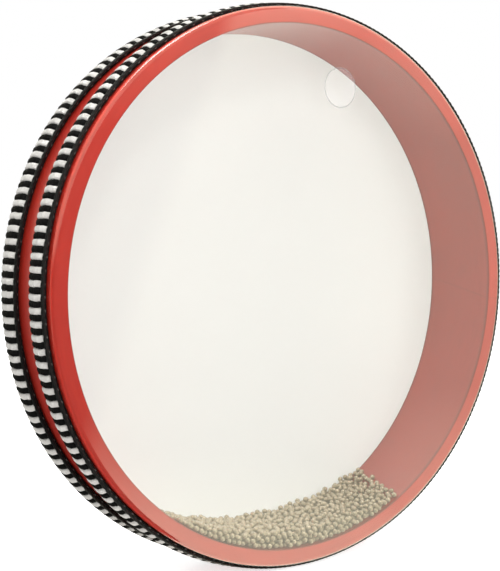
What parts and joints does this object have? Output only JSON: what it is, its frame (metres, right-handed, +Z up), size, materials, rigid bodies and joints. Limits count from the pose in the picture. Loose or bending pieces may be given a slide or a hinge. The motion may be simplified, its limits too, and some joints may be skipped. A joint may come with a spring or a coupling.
{
  "type": "ocean drum",
  "caption": "Shallow round wooden frame drum with a clear front head, a white rear head, braided trim and loose steel shot that rolls inside to make a surf sound.",
  "frame": {"origin": "centre of the drum, on its axis and half way between the two heads", "axes": "the drum stands on its rim as it is held up: +Y runs along its axis from the clear front head to the white rear head, +Z is up and +X is to the right seen from the front"},
  "size_m": [0.4144, 0.067, 0.4144],
  "materials": {
    "red_lacquer": "glossy red lacquer on bent wood",
    "clear_film": "clear polyester film",
    "white_film": "milky white polyester film, satin",
    "braid_yarn": "black and white woven braid",
    "staple_steel": "galvanised",
    "label_film": "clear blank sticker",
    "shot_steel": "bright shot with a warm tint"
  },
  "bodies": {
    "drum": {"hoop": "red_lacquer", "clear_front_head": "clear_film", "white_rear_head": "white_film", "front_braid": "braid_yarn", "rear_braid": "braid_yarn", "front_staples": "staple_steel", "rear_staples": "staple_steel", "round_label": "label_film"},
    "shot_bed": {"shot_bed": "shot_steel"},
    "shot_wave": {"shot_wave": "shot_steel"},
    "shot_left_run": {"shot_left_run": "shot_steel"},
    "shot_right_run": {"shot_right_run": "shot_steel"}
  },
  "joints": [
    {"name": "shot_roll", "type": "hinge", "parent": "drum", "child": "shot_bed", "pos_m": [0, 0, 0], "axis": [0, 1, 0], "continuous": true},
    {"name": "wave_surge", "type": "slide", "parent": "shot_bed", "child": "shot_wave", "axis": [0, 0, 1], "range_m": [0, 0.32]},
    {"name": "left_run_climb", "type": "hinge", "parent": "shot_bed", "child": "shot_left_run", "pos_m": [0, 0, 0], "axis": [0, 1, 0], "range_deg": [0, 90]},
    {"name": "right_run_climb", "type": "hinge", "parent": "shot_bed", "child": "shot_right_run", "pos_m": [0, 0, 0], "axis": [0, -1, 0], "range_deg": [0, 90]}
  ]
}
